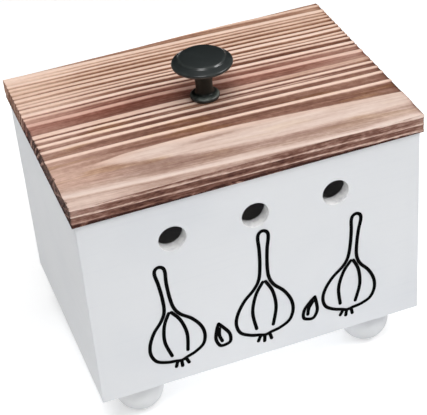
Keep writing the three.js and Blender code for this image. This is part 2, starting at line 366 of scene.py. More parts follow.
def makeZinc():
    material, wire, place = startFinish("zinc_plated_steel")
    cloud = place.cells(zinc["clouds"], 3.0)
    brushed = place.cells(zinc["brushing"], 2.0)
    colour = cloud.mixed(zinc["grey"], zinc["bright"])
    rough = cloud * 0.2 + brushed * 0.1 + zinc["roughness"]
    normal = wire.bumped(brushed, zinc["brushBump"], 0.6)
    return endFinish(material, wire, {
        "Base Color": colour, "Metallic": 1.0, "Roughness": rough, "Normal": normal})


ink = {
    "deep": tint(2, 2, 2),
    "dry": tint(9, 9, 10),
    "strokes": 700.0,  # cells per metre
    "roughness": 0.75,
    "gloss": 0.04,
    "strokeBump": 0.00003,
}


def makeInk():
    material, wire, place = startFinish("black_line_paint")
    brush = place.cells(ink["strokes"], 3.0)
    colour = brush.mixed(ink["deep"], ink["dry"])
    rough = brush * 0.2 + ink["roughness"]
    normal = wire.bumped(brush, ink["strokeBump"], 0.5)
    return endFinish(material, wire, {
        "Base Color": colour, "Roughness": rough, "Normal": normal, "Specular IOR Level": ink["gloss"]})


paintAlongX = makePaint("white_paint_long_grain", 0)
paintAlongY = makePaint("white_paint_side_grain", 1)
paintTurned = makePaint("white_paint_turned", None, "turned")
# a brighter copy of the paint with a finer mottle: painted light for the vent walls
paintDrilledLit = makePaint("white_paint_drilled_lit", None, "drilled", "scuffed", "drilledClouds")
burntPine = makeBurntPine()
barePine = makeBarePine()
blackMetal = makeBlackMetal()
zincSteel = makeZinc()
lineInk = makeInk()
print("materials mixed")


# mesh helpers
def addPiece(name, mesh, material=None):
    piece = bpy.data.objects.new(name, mesh)
    bpy.context.scene.collection.objects.link(piece)
    if material:
        mesh.materials.append(material)
    return piece


def finishPiece(piece, material, body, stands=()):
    piece.data.materials.clear()
    piece.data.materials.append(material)
    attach(piece, body)
    if stands:
        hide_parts(*stands)
    return piece


def meshFrom(name, points, faces):
    mesh = bpy.data.meshes.new(name)
    mesh.from_pydata([tuple(p) for p in points], [], [tuple(int(i) for i in f) for f in faces])
    mesh.polygons.foreach_set("use_smooth", [True] * len(mesh.polygons))
    mesh.update()
    return mesh


def latheMesh(name, profile, sides, centre, up=1):  # profile of (radius, height) in mm, from axis to axis
    points, faces, rings = [], [], []
    for radius, height in profile:
        onAxis = radius < 1e-6
        ring = []
        for i in range(1 if onAxis else sides):
            angle = 2 * math.pi * i / sides
            x, y = (0, 0) if onAxis else (radius * mm * math.cos(angle), radius * mm * math.sin(angle))
            ring.append(len(points))
            points.append((centre[0] + x, centre[1] + y, centre[2] + up * height * mm))
        rings.append(ring)
    for lower, upper in zip(rings, rings[1:]):
        for i in range(sides):
            j = (i + 1) % sides
            quad = [lower[i % len(lower)], lower[j % len(lower)]]
            quad += [upper[j % len(upper)], upper[i % len(upper)]]
            faces.append(list(dict.fromkeys(quad)))  # at the axis it has three corners
    mesh = meshFrom(name, points, faces)
    if up < 0:
        mesh.flip_normals()
    return mesh


def softened(points, steps):  # (x, y, fillet) corners into a smooth line
    line = []
    for i, (x, y, fillet) in enumerate(points):
        if not fillet or i in (0, len(points) - 1):
            line.append((x, y))
            continue
        here = Vector((x, y))
        back = (Vector(points[i - 1][:2]) - here).normalized()
        ahead = (Vector(points[i + 1][:2]) - here).normalized()
        start, end = here + back * fillet, here + ahead * fillet
        for k in range(steps + 1):
            t = k / steps
            spot = start * (1 - t) ** 2 + here * 2 * t * (1 - t) + end * t ** 2
            line.append((spot.x, spot.y))
    return line


def bentTo(start, control, end, steps):  # points of a quadratic bend, without its first one
    line = []
    for i in range(1, steps + 1):
        t = i / steps
        first, second, third = (1 - t) ** 2, 2 * t * (1 - t), t ** 2
        line.append(tuple(start[k] * first + control[k] * second + end[k] * third for k in (0, 1)))
    return line


def settle(piece):  # modifiers become mesh
    graph = bpy.context.evaluated_depsgraph_get()
    shaped = bpy.data.meshes.new_from_object(piece.evaluated_get(graph))
    piece.modifiers.clear()
    piece.data = shaped
    return piece


def carve(piece, cutters):
    for mesh in cutters:
        cutter = addPiece("cutter", mesh)
        bite = piece.modifiers.new("cut", "BOOLEAN")
        bite.operation, bite.solver, bite.object = "DIFFERENCE", "EXACT", cutter
        settle(piece)
        bpy.data.objects.remove(cutter)
    return piece


blockFaces = [(0, 1, 3, 2), (4, 6, 7, 5), (0, 4, 5, 1), (2, 3, 7, 6), (0, 2, 6, 4), (1, 5, 7, 3)]


def blockMesh(low, high):
    points = [(x, y, z) for x in (low[0], high[0]) for y in (low[1], high[1]) for z in (low[2], high[2])]
    return meshFrom("block", points, blockFaces)


def easeEdges(piece, width, steps, share):  # share says how much of the width an edge at that place gets
    bm = bmesh.new()
    bm.from_mesh(piece.data)
    bmesh.ops.remove_doubles(bm, verts=bm.verts, dist=1e-6)
    bmesh.ops.dissolve_limit(bm, angle_limit=0.01, verts=bm.verts, edges=bm.edges)
    weights = bm.edges.layers.float.new("bevel_weight_edge")
    sharp = math.radians(50)
    for edge in bm.edges:
        if len(edge.link_faces) == 2 and edge.calc_face_angle() > sharp:
            edge[weights] = share((edge.verts[0].co + edge.verts[1].co) / 2)
    bm.to_mesh(piece.data)
    bm.free()
    piece.data.polygons.foreach_set("use_smooth", [True] * len(piece.data.polygons))
    bevel = piece.modifiers.new("ease", "BEVEL")
    bevel.limit_method, bevel.width, bevel.segments = "WEIGHT", width, steps
    bevel.harden_normals = True
    return settle(piece)


# box walls
wall = {
    "thickness": 7 * mm,
    "lap": 3.5 * mm,
    "bottom": 7 * mm,
    "corner": 1.0 * mm,
    "cornerSteps": 6,
    "ease": 0.5 * mm,
    "easeSteps": 3,
    "jointShare": 0.22,  # of the ease, for the edges in a joint
    "spare": 1 * mm,  # how far cutters stand out
    "near": 0.1 * mm,
    "ventRadius": 7.5,
    "ventSides": 72,
    "ventPlaces": (-45, 0, 45),
    "ventHeight": 120.1,
    "ventCut": (-2, 9),  # before and behind the front face
}


def raisedMesh(name, plan, low, high):
    count = len(plan)
    points = [(x, y, z) for z in (low, high) for x, y in plan]
    faces = [list(range(count))[::-1], [count + i for i in range(count)]]
    faces += [(i, (i + 1) % count, count + (i + 1) % count, count + i) for i in range(count)]
    return meshFrom(name, points, faces)


def endWallPlan(half):  # from above, with y as the depth behind its outer face
    inner, lap, radius = wall["thickness"], wall["lap"], wall["corner"]
    turns = [math.pi / 2 * i / wall["cornerSteps"] for i in range(wall["cornerSteps"] + 1)]
    plan = []
    for side in (-1, 1):
        arc = [(side * (half - radius + radius * math.sin(a)), radius - radius * math.cos(a)) for a in turns]
        plan += arc[::-1] if side < 0 else arc
    plan += [(half, lap), (half - inner, lap), (half - inner, inner)]
    return plan + [(inner - half, inner), (inner - half, lap), (-half, lap)]


def ventCutter(x, outerY):
    before, behind = wall["ventCut"]
    radius = wall["ventRadius"]
    profile = [(0, before), (radius, before), (radius, behind), (0, behind)]
    hole = latheMesh("hole", profile, wall["ventSides"], (0, 0, 0))
    laid = Matrix.Rotation(-math.pi / 2, 4, "X")
    hole.transform(Matrix.Translation((x * mm, outerY, wall["ventHeight"] * mm)) @ laid)
    return hole


def makeEndWall(name, node, outward, vents):
    low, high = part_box(node)
    half, spare, near = high.x, wall["spare"], wall["near"]
    outerY = low.y if outward < 0 else high.y
    plan = [(x, outerY - outward * y) for x, y in endWallPlan(half)]
    if outward > 0:
        plan = plan[::-1]
    piece = addPiece(name, raisedMesh(name, plan, low.z, high.z), paintAlongX)
    lapY, pastY = outerY - outward * wall["lap"], outerY - outward * (wall["thickness"] + spare)
    rebate = blockMesh((-half - spare, min(lapY, pastY), low.z - spare),
                       (half + spare, max(lapY, pastY), low.z + wall["bottom"]))
    carve(piece, [rebate] + [ventCutter(x, outerY) for x in vents])

    def share(spot):
        byBottom = spot.z < low.z + wall["bottom"] + near
        buried = abs(spot.y - lapY) < near or byBottom and abs(spot.y - outerY) > near
        return wall["jointShare"] if buried else 1.0

    easeEdges(piece, wall["ease"], wall["easeSteps"], share)
    finishPiece(piece, paintAlongX, "box", [node])
    # the vent walls and the eased ring round each vent get the brighter paint: painted light in the holes
    # and a painted highlight on their rims
    piece.data.materials.append(paintDrilledLit)
    height, drilled = wall["ventHeight"] * mm, wall["ventRadius"] * mm + wall["ease"]
    for face in piece.data.polygons:
        reach = [math.hypot(face.center.x - x * mm, face.center.z - height) for x in vents]
        if abs(face.normal.y) < 0.98 and min(reach, default=1) < drilled:
            face.material_index = 1


def makeSideWall(name, node, outward):
    low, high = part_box(node)
    spare, near = wall["spare"], wall["near"]
    piece = addPiece(name, blockMesh(low, high), paintAlongY)
    outerX = low.x if outward < 0 else high.x
    lapX, pastX = outerX - outward * wall["lap"], outerX - outward * (wall["thickness"] + spare)
    carve(piece, [blockMesh((min(lapX, pastX), low.y - spare, low.z - spare),
                            (max(lapX, pastX), high.y + spare, low.z + wall["bottom"]))])

    def share(spot):
        byBottom = spot.z < low.z + wall["bottom"] + near
        buried = abs(spot.y) > high.y - near or byBottom and abs(spot.x - outerX) > near
        return wall["jointShare"] if buried else 1.0

    easeEdges(piece, wall["ease"], wall["easeSteps"], share)
    finishPiece(piece, paintAlongY, "box", [node])


makeEndWall("front_wall", "front_panel", -1, wall["ventPlaces"])
makeEndWall("back_wall", "back_panel", 1, ())
makeSideWall("left_wall", "left_side_panel", -1)
makeSideWall("right_wall", "right_side_panel", 1)
print("walls cut")


# ball feet
foot = {"radius": 14, "topCut": 1.8, "groundCut": 0.6, "sides": 72, "rings": 30, "flatEase": 0.5}


def makeFoot(node):
    low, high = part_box(node)
    radius, topCut, groundCut, ease = foot["radius"], foot["topCut"], foot["groundCut"], foot["flatEase"]
    centre = radius - groundCut
    start, end = -math.asin((radius - groundCut) / radius), math.asin((radius - topCut) / radius)
    turns = [start + (end - start) * i / foot["rings"] for i in range(foot["rings"] + 1)]
    ball = [(radius * math.cos(a), centre + radius * math.sin(a)) for a in turns]
    top = 2 * radius - topCut - groundCut
    profile = [(0, 0), (ball[0][0] - ease, 0)] + ball[1:] + [(ball[-1][0] - ease, top), (0, top)]
    middle = (low + high) / 2
    mesh = latheMesh(node + "_turned", profile, foot["sides"], (middle.x, middle.y, low.z))
    finishPiece(addPiece(node + "_turned", mesh), paintTurned, "box", [node])


for end in ("front", "back"):
    for side in ("left", "right"):
        makeFoot(f"foot_{end}_{side}")
print("feet turned")


# lid board
board = {
    "edgeRound": 0.4,
    "rowStep": 0.3,
    "columnStep": 3.6,
    "endSteps": (0.55, 0.8, 1.2, 1.8),
    "layerStep": 0.7,
    "brush": 0.42,
    "endWear": (0.4, 0.12),  # left and right end
    "endWearReach": 1.1,
    "chipReach": 0.9,  # of the splinters lost at the left end
    "flank": (-0.45, 0.75),  # where a ridge's side begins and ends, past its half width
    "wideValley": 5.5,  # a wider one gets paler in its middle
    # each pale ridge's place at the left end in mm from the back edge, its half width, its tone at the
    # left and right end, and the tone of the worn wood in front of it at the left and right end
    "rings": [
        (-13.0, 1.0, 0.85, 0.85, 0.40, 0.40),
        (-5.5, 1.0, 0.85, 0.85, 0.40, 0.40),
        (1.5, 1.5, 0.95, 0.95, 0.60, 0.40),
        (5.5, 0.7, 0.95, 0.85, 0.50, 0.40),
        (9.5, 1.0, 1.00, 0.85, 0.30, 0.20),
        (13.5, 0.9, 0.85, 0.85, 0.35, 0.30),
        (18.0, 1.0, 0.85, 0.85, 0.30, 0.20),
        (22.5, 1.2, 0.85, 0.95, 0.15, 0.15),
        (26.5, 1.3, 0.90, 1.00, 0.30, 0.30),
        (31.0, 0.8, 0.90, 0.90, 0.35, 0.40),
        (34.0, 0.9, 0.90, 1.00, 0.20, 0.15),
        (37.5, 1.0, 0.90, 0.90, 0.30, 0.10),
        (43.0, 1.3, 1.00, 1.00, 0.20, 0.20),
        (47.0, 0.9, 0.80, 0.80, 0.25, 0.35),
        (53.5, 1.5, 0.75, 0.90, 0.20, 0.40),
        (66.0, 1.7, 0.90, 0.70, 0.00, 0.35),
        (70.5, 1.0, 1.00, 0.95, 0.25, 0.20),
        (73.5, 0.5, 0.25, 0.85, 0.20, 0.25),
        (76.0, 1.1, 1.00, 0.90, 0.15, 0.25),
        (82.0, 1.2, 0.95, 0.95, 0.20, 0.30),
        (91.0, 1.2, 0.95, 0.95, 0.35, 0.30),
        (125.0, 1.2, 0.95, 0.95, 0.40, 0.40),
        (138.0, 0.8, 0.95, 0.95, 0.30, 0.30),
        (146.5, 0.8, 1.00, 1.00, 0.25, 0.25),
        (154.5, 0.8, 0.65, 0.70, 0.15, 0.20),
        (170.0, 1.2, 0.60, 0.60, 0.20, 0.20),
    ],
    # how far a ring runs to the front by the right end, in mm, by its place at the left end
    "runFrom": (0, 12, 22, 36, 42, 56, 66, 90, 125, 138, 156),
    "run": (9, 7.5, 7, 8.5, 9, 9, 5.5, 7, 14.5, 11, 10),
    # this ring pales slowly, over frontRun mm at its left and right end, then drops off
    "frontRing": 21,
    "frontRun": (5.0, 2.6),
    "frontRunAt": (0, 190),
    "fadingRing": 17,  # this one ends before the right end
    "fadingFrom": (145, 172),
    # how far the rows of points go to the front with the rings, behind and before the red band
    "rowSwing": (8.2, 6.0),
    "rowSwingFrom": (50, 70),
    "rowSwingComes": (0.4, 20),
    "rowSwingGoes": (110, 136.6),
    # how the rings run from the left end to the right: share of their drift at places in mm
    "driftAt": (0, 20, 40, 60, 80, 105, 130, 150, 170, 190),
    "driftMiddle": (0.0, 0.03, 0.07, 0.15, 0.27, 0.45, 0.64, 0.78, 0.92, 1.03),
    "driftEdge": (0.0, 0.13, 0.26, 0.35, 0.45, 0.56, 0.68, 0.79, 0.92, 1.03),
    # the flame in the front half, by its upper and lower line in mm from the back edge
    "flameAt": (18, 40, 60, 80, 100, 130, 150, 170, 190),
    "flameUpper": (104.5, 101, 100.5, 101, 102.5, 105.5, 107.5, 109.5, 111.5),
    "flameLower": (104.5, 110, 114.5, 119, 121.5, 123, 123, 123.5, 124),
    "flameFrom": (14, 34),
    "flameTone": 0.875,
    "flameHard": 0.85,
    "slant": (0.35, 2.1),  # mm that a ring runs to the front per mm of depth, at the back and at the front
    "slantFrom": (20, 125),
    # soft spots by their middle, half length, half width and strength
    "slackSpot": (75, 58, 25, 13, 0.12),  # the rings drift less here
    "flameSpot": (82, 107.5, 20, 2.4, 0.16),
    "darkSpots": [(78, 42, 26, 9, 0.13), (105, 85, 45, 9, 0.07)],
    # painted light: paler where the knob's shadow falls on the top
    "paintedLightSpot": (78, 71, 12, 7, 0.10),
    # where the torch left the top paler, and where a highlight is painted by its front right corner, in mm
    # from the left end or the back edge, and how much
    "leftReach": 62,
    "leftPaler": 0.33,
    "redBand": ((54, 58), (66, 70)),
    "rightFrom": (125, 175),
    "rightPaler": 0.05,
    "frontFrom": (125, 131),
    "frontPaler": 0.16,
    # a painted highlight along the front arris at the right
    "arrisHighlightFrom": ((150, 170), (132.5, 135.5)),
    "arrisHighlight": 0.24,
    "rightEndReach": 0.9,
}


def smooth(low, high, value):
    t = np.clip((value - low) / (high - low), 0, 1)
    return t * t * (3 - 2 * t)


def patches(a, b, seed):  # smooth random values between -1 and 1 on a plane of unit cells
    lattice = np.random.default_rng(seed).uniform(-1, 1, (257, 257))
    ia, ib = np.floor(a).astype(int), np.floor(b).astype(int)
    fa, fb = smooth(0, 1, a - ia), smooth(0, 1, b - ib)
    ia, ib = ia % 256, ib % 256
    low = lattice[ia, ib] * (1 - fa) + lattice[ia + 1, ib] * fa
    high = lattice[ia, ib + 1] * (1 - fa) + lattice[ia + 1, ib + 1] * fa
    return low * (1 - fb) + high * fb


def blend(first, second, share):
    return first + (second - first) * share


def spotOn(x, y, spot):
    return spot[4] * np.exp(-((x - spot[0]) / spot[2]) ** 2 - ((y - spot[1]) / spot[3]) ** 2)


def placeOf(ring, drift):
    return ring[0] + np.interp(ring[0], board["runFrom"], board["run"]) * drift


def ridgeOf(ring, away):  # 1 on the ridge, 0 past its side
    low, high = board["flank"]
    return 1 - smooth(ring[1] + low, ring[1] + high, away)


def readGrain(x, y, depth):  # x from the left end, y from the back edge, depth under the top, all in mm
    slant = blend(*board["slant"], smooth(*board["slantFrom"], y))
    at = y + slant * depth + 0.25 * patches(x / 28, y / 9, 3)
    middle = smooth(0, 25, y) * (1 - smooth(105, 128, y))
    drift = (np.interp(x, board["driftAt"], board["driftMiddle"]) * middle
             + np.interp(x, board["driftAt"], board["driftEdge"]) * (1 - middle))
    drift = drift - spotOn(x, y, board["slackSpot"])
    side = smooth(10, 190, x)
    fading = 0.5 * smooth(*board["fadingFrom"], x)
    rings = board["rings"]
    tone = np.full_like(x, 0.4)
    hard = np.zeros_like(x)
    across = at.copy()
    for number, (one, two) in enumerate(zip(rings, rings[1:])):
        start, end = placeOf(one, drift), placeOf(two, drift)
        here = (at >= start) & (at < end)
        share = np.clip((at - start) / (end - start), 0, 1)
        first, second = ridgeOf(one, at - start), ridgeOf(two, end - at)
        oneTone, twoTone = blend(one[2], one[3], side), blend(two[2], two[3], side)
        valley = blend(one[4], one[5], side)
        if number == board["fadingRing"]:
            oneTone = oneTone - fading
        if number + 1 == board["fadingRing"]:
            twoTone = twoTone - fading
        if number + 1 == board["frontRing"]:
            run = np.interp(x, board["frontRunAt"], board["frontRun"])
            second = np.maximum(second, np.exp(-(end - at) / run))
            pastFlame = smooth(-2, 3, at - np.interp(x, board["flameAt"], board["flameUpper"]))
            settled = 0.40 + 0.07 * smooth(45, 78, x) + 0.08 * smooth(135, 185, x)
            valley = blend(valley, settled, pastFlame)
        valley = valley + 0.10 * np.sin(math.pi * share) * ((end - start) > board["wideValley"])
        value = blend(blend(valley, oneTone, first), twoTone, second)
        tone = np.where(here, value, tone)
        hard = np.where(here, np.maximum(first * oneTone, second * twoTone), hard)
        across = np.where(here, blend(one[0], two[0], share), across)
    return at, tone, hard, across


def flameOn(x, at, tone, hard):  # the flame-shaped figure in the front half
    upper = np.interp(x, board["flameAt"], board["flameUpper"])
    lower = np.interp(x, board["flameAt"], board["flameLower"])
    fade = smooth(*board["flameFrom"], x)
    soft = 0.7 + 1.6 * (1 - fade)
    inside = smooth(-soft, soft, at - upper) * smooth(-soft - 1.2, soft + 1.2, lower - at)
    pale = board["flameTone"] - spotOn(x, at, board["flameSpot"]) + 0.06 * patches(x / 20, at / 2, 5)
    tone = blend(tone, pale, inside * (0.25 + 0.75 * fade))
    return tone, np.maximum(hard, inside * fade * board["flameHard"])


def torchedAndPaintedLight(x, y, hard, length):  # how much paler the top is: paler where the torch and the brush left it so, darker in soft spots and by the right end, with painted light where the knob's shadow falls and a painted highlight by the front right arris
    bandFrom, bandTo = board["redBand"]
    band = smooth(*bandFrom, y) * (1 - smooth(*bandTo, y))
    left = board["leftPaler"] - 0.09 * smooth(70, 82, y) - 0.06 * smooth(95, 115, y)
    left = left * (1 - smooth(0, board["leftReach"], x)) * (1 - 0.3 * band)
    front = (board["frontPaler"] - 0.10 * smooth(100, 135, x)) * smooth(*board["frontFrom"], y)
    paler = (left + board["rightPaler"] * smooth(*board["rightFrom"], x) + front) * (1 - hard)
    for spot in board["darkSpots"]:
        paler = paler - (1.1 - hard) * spotOn(x, y, spot)
    cornerX, cornerY = board["arrisHighlightFrom"]
    paler = paler + board["arrisHighlight"] * smooth(*cornerX, x) * smooth(*cornerY, y)
    paler = paler - (0.6 - 0.4 * hard) * np.exp((x - length) / board["rightEndReach"])
    return paler + spotOn(x, y, board["paintedLightSpot"])


def brushedOff(x, across, hard, length):  # mm of soft wood that is gone
    left, right = board["endWear"]
    atEnds = left * np.exp(-x / board["endWearReach"]) + right * np.exp((x - length) / board["endWearReach"])
    uneven = 0.05 * patches(x / 3, across / 0.6, 11)
    return np.maximum((board["brush"] + atEnds) * (1 - hard) + uneven, 0)


def chippedOff(x, y, depth):
    nearEnd = np.exp(-x / board["chipReach"]) * smooth(45, 75, y)
    return np.maximum(0, patches(x / 5 + 9, (y + depth) / 1.7, 17) - 0.3) * nearEnd


def scorchAndShadowLine(y, depth, onEnd, onSide):
    ends = 0.25 + 0.56 * smooth(45, 85, y) + 0.75 * patches(y / 5, depth / 4, 23) * smooth(40, 80, y)
    ends = ends + 0.6 * smooth(7, 10.4, depth)
    # the long edges darken sharply at their bottom: a painted shadow line where the lid sits on the box
    sides = 0.36 + 1.0 * smooth(9.4, 10.2, depth)
    return np.clip(onEnd * ends + onSide * sides, 0, 1.5)


def latticeBox(xs, ys, zs):  # the outer skin of a grid of points
    rim = np.zeros((len(xs), len(ys), len(zs)), bool)
    rim[[0, -1]], rim[:, [0, -1]], rim[:, :, [0, -1]] = True, True, True
    number = np.full(rim.shape, -1)
    number[rim] = np.arange(rim.sum())
    points = np.stack(np.meshgrid(xs, ys, zs, indexing="ij"), -1)[rim]
    faces = []
    for axis in range(3):
        for side in (0, -1):
            sheet = np.take(number, side, axis)
            corners = [sheet[:-1, :-1], sheet[1:, :-1], sheet[1:, 1:], sheet[:-1, 1:]]
            quads = np.stack(corners, -1).reshape(-1, 4)
            faces.append(quads[:, ::-1] if (side == 0) != (axis == 1) else quads)
    return points, np.concatenate(faces)


def spaced(low, high, step, near):  # near gives the places by each end
    near = np.array(near)
    count = round((high - low - 2 * near[-1]) / step) + 1
    inner = np.linspace(low + near[-1], high - near[-1], max(2, count))
    return np.concatenate([low + near[:-1], inner, high - near[-2::-1]])


def swung(y, x):  # rows of points that go with the rings, and stay straight along both edges
    far = blend(*board["rowSwing"], smooth(*board["rowSwingFrom"], y))
    far = far * smooth(*board["rowSwingComes"], y) * (1 - smooth(*board["rowSwingGoes"], y))
    return y + far * np.interp(x, board["driftAt"], board["driftMiddle"])


def boardSkin(low, high):  # points on a block with round edges, their normals and faces
    edge = board["edgeRound"]
    rounding = (0, 0.3 * edge, 0.65 * edge, edge)
    points, faces = latticeBox(spaced(low[0], high[0], board["columnStep"], rounding + board["endSteps"]),
                               spaced(low[1], high[1], board["rowStep"], rounding),
                               spaced(low[2], high[2], board["layerStep"], rounding))
    points[:, 1] = high[1] - swung(high[1] - points[:, 1], points[:, 0] - low[0])
    core = np.clip(points, low + edge, high - edge)
    normal = points - core
    normal /= np.linalg.norm(normal, axis=1, keepdims=True)
    return core + normal * edge, normal, faces


def makeBoard(node):
    low, high = (np.array(corner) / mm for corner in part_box(node))
    length = high[0] - low[0]
    points, normal, faces = boardSkin(low, high)
    x, y, depth = points[:, 0] - low[0], high[1] - points[:, 1], high[2] - points[:, 2]
    at, tone, hard, across = readGrain(x, y, depth)
    tone, hard = flameOn(x, at, tone, hard)
    onTop = smooth(0.2, 0.8, normal[:, 2])
    onEnd = smooth(0.3, 0.8, np.abs(normal[:, 0]))
    onSide = smooth(0.3, 0.8, np.abs(normal[:, 1]))
    onBottom = smooth(0.3, 0.8, -normal[:, 2])
    wear = brushedOff(x, across, hard, length) * (1 - onBottom) * (1 - 0.35 * onEnd)
    chips = chippedOff(x, y, depth) * (onTop + onEnd)
    points = points - normal * (wear + chips)[:, None]
    # the long edges took the flame unevenly, and least at their ends
    uneven = patches(x / 9, depth / 2.4, 31)
    middling = smooth(0, 30, x) * (1 - 0.45 * smooth(135, 185, x))
    tone = tone + torchedAndPaintedLight(x, y, hard, length) * onTop - (0.06 + 0.22 * hard) * onEnd - 1.1 * chips
    tone = tone + onSide * (0.01 + 0.24 * (1 - middling) - 0.10 * uneven)
    blush = np.exp(-((across - 55) / 9) ** 2) * (1 - 0.6 * smooth(160, 188, x)) + 0.35 * onSide
    char = scorchAndShadowLine(y, depth, onEnd, onSide)
    mesh = meshFrom("lid_board_burnt", points * mm, faces)
    for name, values in (("tone", tone), ("across", across * mm), ("blush", blush), ("char", char)):
        mesh.attributes.new(name, "FLOAT", "POINT").data.foreach_set("value", values.astype(np.float32))
    finishPiece(addPiece("lid_board_burnt", mesh), burntPine, "lid", [node])


makeBoard("lid_board")
print("lid board brushed")


# knob
knob = {
    "sides": 128,
    "foot": [(0, 0, 0), (7.8, 0, 0.3), (8.1, 0.9, 0.5), (8.1, 1.9, 0.8), (6.7, 2.7, 0.7), (5.9, 2.8, 0)],
    "cove": ((5.9, 2.8), (4.6, 3.1), (4.6, 5.8)),
    "neckEnd": (4.6, 8.5),
    "underside": ((4.6, 8.5), (4.6, 16.9), (15.2, 19.7)),
    "rimPlace": (15.2, 20.9),
    "rimRadius": 1.2,
    "rimAngles": range(-75, 60, 15),
    "step": [(15.8, 21.94, 0), (13.2, 23.5, 0.4), (12.4, 24.5, 0.5), (11.8, 24.71, 0)],
    "dome": ((11.8, 24.71), (7.4, 26.45), (0, 26.5)),
    "steps": {"foot": 5, "cove": 12, "underside": 18, "step": 6, "dome": 16},  # points in each bend
}


def makeKnob(node):
    low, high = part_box(node)
    steps = knob["steps"]
    profile = softened(knob["foot"], steps["foot"]) + bentTo(*knob["cove"], steps["cove"])
    profile += [knob["neckEnd"]] + bentTo(*knob["underside"], steps["underside"])
    rimX, rimY = knob["rimPlace"]
    for angle in knob["rimAngles"]:
        a = math.radians(angle)
        profile.append((rimX + knob["rimRadius"] * math.cos(a), rimY + knob["rimRadius"] * math.sin(a)))
    profile += softened(knob["step"], steps["step"]) + bentTo(*knob["dome"], steps["dome"])
    middle = (low + high) / 2
    mesh = latheMesh("knob_cast", profile, knob["sides"], (middle.x, middle.y, low.z))
    finishPiece(addPiece("knob_cast", mesh), blackMetal, "lid", [node])


makeKnob("knob")
print("knob turned")


# screws whose heads can be seen
screw = {
    "sides": 40,
    # the cross in its head: half length, half width and depth of a slot, what of the first two is
    # left at its bottom, how far its cutter stands out, and turns
    "slotReach": 1.9,
    "slotWide": 0.42,
    "slotDeep": 1.4,
    "slotBottomShares": (0.35, 0.6),
    "slotProud": 0.4,
    "slotTurns": (0.6, 0.6 + math.pi / 2),
    # half a section from its head down to its shank, as radius, depth and fillet
    "pan": [(0, 0, 0), (2.4, 0, 0), (4.0, 1.1, 0.9), (4.0, 2.5, 0.15), (2.0, 2.5, 0)],
    "flat": [(0, 0, 0), (3.5, 0, 0.12), (3.45, 0.3, 0.1), (1.75, 2.1, 0.3)],
    "point": 3,
    "pointFillet": 0.3,
    "filletSteps": 4,
}


def slotCutter(place, up, turn):  # one slot of the cross in a screw's head
    wide, reach, deep = screw["slotWide"] * mm, screw["slotReach"] * mm, screw["slotDeep"] * mm
    longShare, wideShare = screw["slotBottomShares"]
    points = []
    for sx in (-1, 1):
        for sy in (-1, 1):
            points.append((sx * reach * longShare, sy * wide * wideShare, -deep))
            points.append((sx * reach, sy * wide, screw["slotProud"] * mm))
    mesh = meshFrom("slot", points, blockFaces)
    turnOver = Matrix.Identity(4) if up > 0 else Matrix.Rotation(math.pi, 4, "X")
    mesh.transform(Matrix.Translation(place) @ turnOver @ Matrix.Rotation(turn, 4, "Z"))
    return mesh


def makeScrew(node, body, up, pan=False):  # up is where its head looks
    low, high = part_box(node)
    middle = (low + high) / 2
    length = (high.z - low.z) / mm
    face = high.z if up > 0 else low.z
    head = screw["pan"] if pan else screw["flat"]
    shank = head[-1][0]
    if pan:
        line = head + [(shank, length, 0), (0, length, 0)]
    else:
        line = head + [(shank, length - screw["point"], screw["pointFillet"]), (0, length, 0)]
    profile = [(r, -h) for r, h in softened(line, screw["filletSteps"])][::-1]
    place = Vector((middle.x, middle.y, face))
    mesh = latheMesh(node + "_driven", profile, screw["sides"], place, up)
    piece = addPiece(node + "_driven", mesh, zincSteel)
    carve(piece, [slotCutter(place, up, turn) for turn in screw["slotTurns"]])
    piece.data.polygons.foreach_set("use_smooth", [True] * len(piece.data.polygons))
    piece.data.set_sharp_from_angle(angle=math.radians(35))
    finishPiece(piece, zincSteel, body, [node])


for end in ("front", "back"):
    for side in ("left", "right"):
        makeScrew(f"foot_screw_{end}_{side}", "box", 1)
        makeScrew(f"batten_screw_{end}_{side}", "lid", -1)
makeScrew("knob_screw", "lid", -1, True)
print("screws driven")


# line drawing on the front, garlic bulbs and loose cloves
drawing = {
    "width": 2.0,
    "height": 0.14,
    "stagger": 0.004,  # so that strokes which cross don't share a face
    "sunk": 0.05,
    "tipSteps": 8,
    "curveSteps": 10,
    "floor": 40.5,
    # place, half width, height, tilt
    "bulbs": [(-47.5, 15.5, 33, 6), (1, 16.5, 35, -2), (50, 15.5, 32, -6)],
    "cloves": [(-22.0, 4.4, 16, 12), (26.5, 4.4, 15, -16)],
}
bulbLines = [  # for a bulb one unit high and one unit from its middle to its side
    [(-0.22, -0.02), (-0.52, 0.02), (-0.86, 0.12), (-1.00, 0.30), (-0.94, 0.50), (-0.70, 0.72),
     (-0.36, 0.90), (-0.18, 1.07), (-0.13, 1.32), (-0.14, 1.62), (-0.18, 1.84), (-0.13, 1.93),
     (0.0, 1.96), (0.14, 1.92), (0.18, 1.82), (0.13, 1.60), (0.12, 1.30), (0.17, 1.07), (0.34, 0.90),
     (0.68, 0.73), (0.93, 0.52), (1.00, 0.31), (0.87, 0.12), (0.54, 0.02), (0.22, -0.02)],
    [(-0.22, -0.02), (0.0, -0.05), (0.22, -0.02)],
    [(-0.05, 1.00), (-0.30, 0.78), (-0.42, 0.46), (-0.30, 0.12)],
    [(0.05, 1.00), (0.29, 0.78), (0.40, 0.46), (0.29, 0.12)],
    [(-0.17, -0.05), (-0.25, -0.14)],
    [(-0.02, -0.06), (-0.03, -0.17)],
    [(0.16, -0.05), (0.22, -0.15)],
]
cloveLines = [
    [(0.05, 1.0), (0.52, 0.72), (0.92, 0.38), (0.70, 0.06), (0.0, 0.0), (-0.72, 0.08), (-0.90, 0.42),
     (-0.42, 0.78), (0.05, 1.0)],
    [(-0.05, 0.78), (-0.34, 0.50), (-0.26, 0.22)],
]


